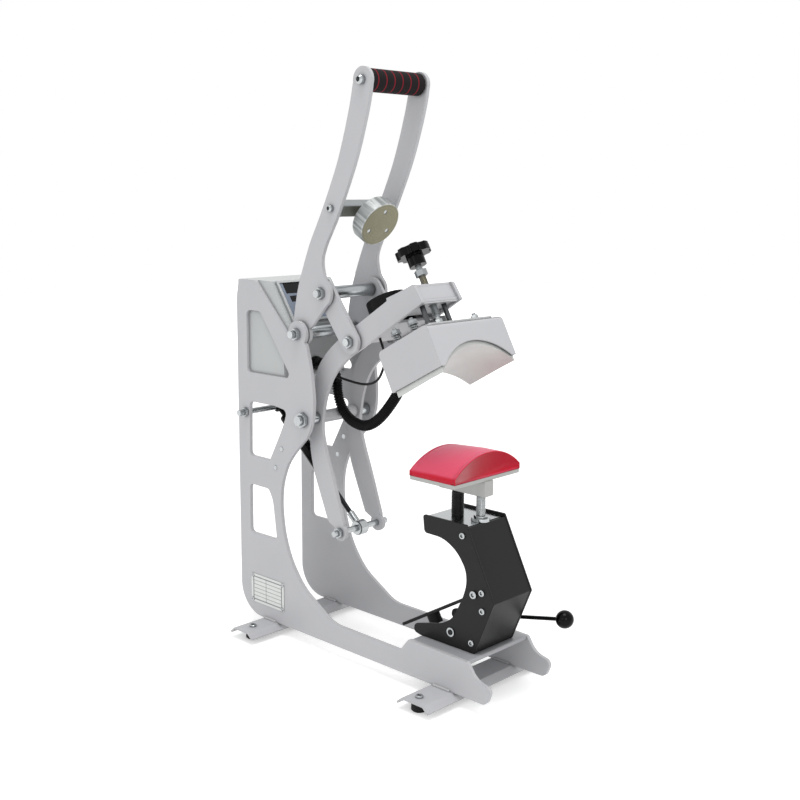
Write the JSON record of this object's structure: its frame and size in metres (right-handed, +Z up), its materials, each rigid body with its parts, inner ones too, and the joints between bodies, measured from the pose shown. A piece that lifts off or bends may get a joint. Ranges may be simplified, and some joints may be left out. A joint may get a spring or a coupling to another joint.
{
  "type": "cap heat press",
  "caption": "Manual clamshell heat press for caps with a curved heated head, curved silicone pad, gas-spring arm and pull-down handle.",
  "frame": {"origin": "centre of the overall box, on the floor", "axes": "+Z up, the operator stands in front at -Y, +X to the operator's right"},
  "size_m": [0.274, 0.6114, 0.921],
  "materials": {
    "silver_paint": "satin light grey powder coat",
    "box_paint": "satin light grey powder coat",
    "black_paint": "satin black powder coat",
    "zinc_steel": "bright zinc plate",
    "yellow_zinc": "yellow zinc plate",
    "aluminium": "brushed",
    "heater_metal": "coated heater face",
    "armature_metal": "turned",
    "black_plastic": "glossy moulding",
    "matte_black": "matte",
    "black_rubber": "moulded rubber",
    "grip_foam": "foam",
    "grip_red": "foam",
    "red_silicone": "silicone",
    "display_glass": "smoked window",
    "panel_grey": "printed front label",
    "plate_label": "etched plate"
  },
  "bodies": {
    "frame": {"side_plate_left": "silver_paint", "side_plate_right": "silver_paint", "foot_bars": "silver_paint", "rubber_feet": "black_rubber", "frame_screws": "zinc_steel", "frame_nuts": "zinc_steel", "table": "silver_paint", "frame_pins": "zinc_steel", "main_shaft": "zinc_steel", "nameplate": "plate_label", "control_box": "box_paint", "panel_bezel": "box_paint", "panel_label": "panel_grey", "display_window": "display_glass", "box_fittings": "matte_black", "stand_sides": "black_paint", "stand_front": "black_paint", "stand_seat": "zinc_steel", "platen_post": "black_paint", "platen_plate": "aluminium", "silicone_pad": "red_silicone", "heater_hose": "matte_black", "magnet_lead": "matte_black"},
    "handle": {"handle_arm_left": "silver_paint", "handle_arm_right": "silver_paint", "grip_foam": "grip_foam", "grip_rings": "grip_red", "handle_bars": "zinc_steel", "handle_bolts": "zinc_steel", "armature": "armature_metal", "link_shaft": "zinc_steel"},
    "links": {"link_left": "silver_paint", "link_right": "silver_paint", "link_bolts": "zinc_steel"},
    "head_arm": {"head_arm_left": "silver_paint", "head_arm_right": "silver_paint", "arm_fasteners": "zinc_steel", "arm_cross_plates": "silver_paint", "arm_top_plate": "silver_paint", "holding_magnet": "matte_black"},
    "knob": {"pressure_stud": "yellow_zinc", "star_knob": "black_plastic"},
    "head": {"head_housing": "silver_paint", "heater_plate": "heater_metal", "head_flange": "aluminium", "heater_posts": "zinc_steel", "head_guides": "zinc_steel", "head_boot": "black_rubber"},
    "gas_cylinder": {"gas_cylinder": "black_plastic"},
    "gas_rod": {"gas_rod": "zinc_steel", "gas_eye": "zinc_steel"},
    "clamp_lever": {"lever_shaft": "zinc_steel", "lever_ball": "black_plastic"},
    "strap": {"hold_down_strap": "black_paint", "strap_bumper": "black_rubber"},
    "power_switch": {"mains_switch": "black_plastic"},
    "button_1": {"panel_button_1": "black_plastic"},
    "button_2": {"panel_button_2": "black_plastic"},
    "button_3": {"panel_button_3": "black_plastic"}
  },
  "joints": [
    {"name": "head_arm_pivot", "type": "hinge", "parent": "frame", "child": "head_arm", "pos_m": [0, 0.13925, 0.381], "axis": [1, 0, 0], "range_deg": [0, 28.3], "stiffness_Nm_per_rad": 12, "springref_deg": -137.51, "deforming": ["heater_hose", "magnet_lead"]},
    {"name": "handle_pivot", "type": "hinge", "parent": "frame", "child": "handle", "pos_m": [0, 0.15325, 0.518], "axis": [1, 0, 0], "range_deg": [0, 60.21]},
    {"name": "link_pivot", "type": "hinge", "parent": "handle", "child": "links", "pos_m": [0, 0.10725, 0.585], "axis": [1, 0, 0], "range_deg": [-75.74, 0]},
    {"name": "gas_spring_tilt", "type": "hinge", "parent": "frame", "child": "gas_cylinder", "pos_m": [0, 0.28425, 0.374], "axis": [1, 0, 0], "range_deg": [0, 17.92]},
    {"name": "gas_spring_stroke", "type": "slide", "parent": "gas_cylinder", "child": "gas_rod", "axis": [0, -0.753, -0.658], "range_m": [-0.05683, 0]},
    {"name": "pressure_knob_turn", "type": "hinge", "parent": "head_arm", "child": "knob", "pos_m": [0, -0.04349, 0.6259], "axis": [0, 0.4741, 0.8805], "range_deg": [0, 960]},
    {"name": "head_height", "type": "slide", "parent": "head_arm", "child": "head", "axis": [0, 0.4741, 0.8805], "range_m": [0, 0.004]},
    {"name": "clamp_lever_pivot", "type": "hinge", "parent": "frame", "child": "clamp_lever", "pos_m": [0, -0.15525, 0.098], "axis": [-1, 0, 0], "range_deg": [0, 40]},
    {"name": "strap_pivot", "type": "hinge", "parent": "frame", "child": "strap", "pos_m": [0, -0.19815, 0.167], "axis": [1, 0, 0], "range_deg": [0, 20]},
    {"name": "power_switch_press", "type": "slide", "parent": "frame", "child": "power_switch", "axis": [0, -1, 0], "range_m": [0, 0.002], "stiffness_N_per_m": 400, "springref_m": -0.001},
    {"name": "button_1_press", "type": "slide", "parent": "frame", "child": "button_1", "axis": [0, 0.8265, -0.563], "range_m": [0, 0.001], "stiffness_N_per_m": 400, "springref_m": -0.001},
    {"name": "button_2_press", "type": "slide", "parent": "frame", "child": "button_2", "axis": [0, 0.8265, -0.563], "range_m": [0, 0.001], "stiffness_N_per_m": 400, "springref_m": -0.001},
    {"name": "button_3_press", "type": "slide", "parent": "frame", "child": "button_3", "axis": [0, 0.8265, -0.563], "range_m": [0, 0.001], "stiffness_N_per_m": 400, "springref_m": -0.001}
  ],
  "couplings": [
    {"joint": "handle_pivot", "follows": "head_arm_pivot", "ratio": 2.1274},
    {"joint": "link_pivot", "follows": "head_arm_pivot", "ratio": -2.676},
    {"joint": "gas_spring_tilt", "follows": "head_arm_pivot", "ratio": 0.6329},
    {"joint": "gas_spring_stroke", "follows": "head_arm_pivot", "m_per_rad": -0.11503},
    {"joint": "pressure_knob_turn", "follows": "head_height", "rad_per_m": 4188.8},
    {"joint": "strap_pivot", "follows": "clamp_lever_pivot", "ratio": 0.5}
  ]
}
